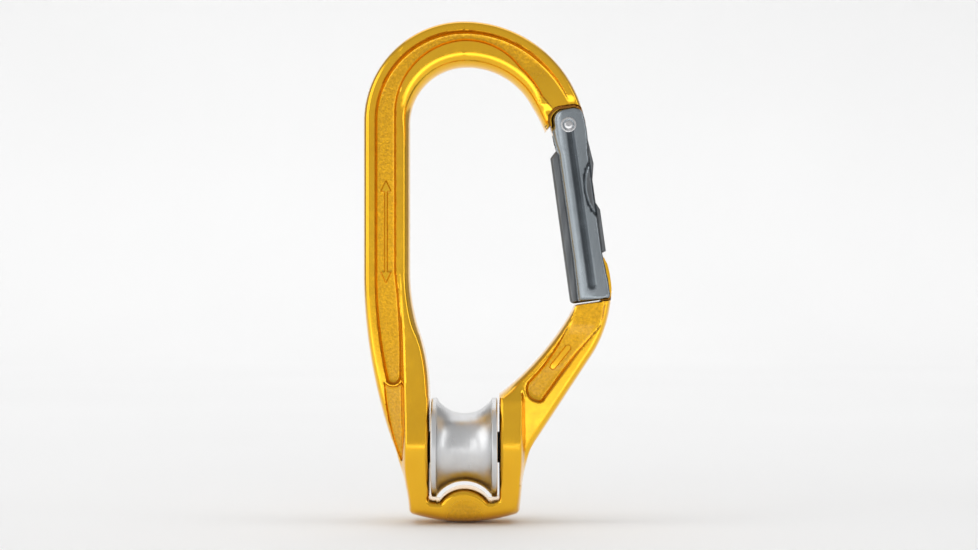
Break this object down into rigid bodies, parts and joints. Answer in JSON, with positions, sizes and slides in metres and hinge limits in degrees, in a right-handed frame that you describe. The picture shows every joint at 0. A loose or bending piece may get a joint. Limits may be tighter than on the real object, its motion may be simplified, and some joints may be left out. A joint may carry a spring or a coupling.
{
  "type": "pulley carabiner",
  "caption": "Gold forged aluminium pulley carabiner: C-shaped frame with a spring gate, and a rope sheave on sealed bearings between two cheeks.",
  "frame": {"origin": "centre of the sheave, on the axle's axis and in the frame's parting plane", "axes": "+Z from the sheave towards the crown, +X along the axle towards the gate side, +Y through the thickness"},
  "size_m": [0.0655, 0.0262, 0.1322],
  "materials": {
    "gold_anodised": "gold anodised forging",
    "grey_anodised": "dark grey anodised",
    "sheave_aluminium": "turned, clear anodised",
    "steel": "turned stainless steel",
    "spring_steel": "drawn wire",
    "bearing_steel": "ground and polished",
    "plunger_brass": "turned",
    "cage_nylon": "moulded nylon",
    "seal_rubber": "moulded rubber"
  },
  "bodies": {
    "frame": {"frame": "gold_anodised", "sheave_axle": "steel", "bearing_spacer": "steel", "axle_washer_left": "steel", "axle_washer_right": "steel", "left_inner_ring": "bearing_steel", "right_inner_ring": "bearing_steel"},
    "sheave": {"sheave": "sheave_aluminium", "left_outer_ring": "bearing_steel", "left_inner_seal": "seal_rubber", "left_outer_seal": "seal_rubber", "right_outer_ring": "bearing_steel", "right_inner_seal": "seal_rubber", "right_outer_seal": "seal_rubber"},
    "left_cage": {"left_cage": "cage_nylon", "left_balls": "bearing_steel"},
    "right_cage": {"right_cage": "cage_nylon", "right_balls": "bearing_steel"},
    "gate": {"gate": "grey_anodised", "gate_pin": "steel", "gate_spring": "spring_steel"},
    "plunger": {"spring_plunger": "plunger_brass"}
  },
  "joints": [
    {"name": "sheave_spin", "type": "hinge", "parent": "frame", "child": "sheave", "pos_m": [0, 0, 0], "axis": [1, 0, 0], "continuous": true},
    {"name": "left_cage_spin", "type": "hinge", "parent": "frame", "child": "left_cage", "pos_m": [0, 0, 0], "axis": [1, 0, 0], "continuous": true},
    {"name": "right_cage_spin", "type": "hinge", "parent": "frame", "child": "right_cage", "pos_m": [0, 0, 0], "axis": [1, 0, 0], "continuous": true},
    {"name": "gate_hinge", "type": "hinge", "parent": "frame", "child": "gate", "pos_m": [0.02737, 0, 0.08504], "axis": [0, 1, 0], "range_deg": [0, 30], "stiffness_Nm_per_rad": 0.25, "springref_deg": -34.38},
    {"name": "plunger_slide", "type": "slide", "parent": "gate", "child": "plunger", "axis": [0.1392, 0, -0.9903], "range_m": [0, 0.0012], "deforming": ["gate_spring"]}
  ],
  "couplings": [
    {"joint": "left_cage_spin", "follows": "sheave_spin", "ratio": 0.60526},
    {"joint": "right_cage_spin", "follows": "sheave_spin", "ratio": 0.60526},
    {"joint": "plunger_slide", "follows": "gate_hinge", "m_per_rad": 0.002}
  ]
}
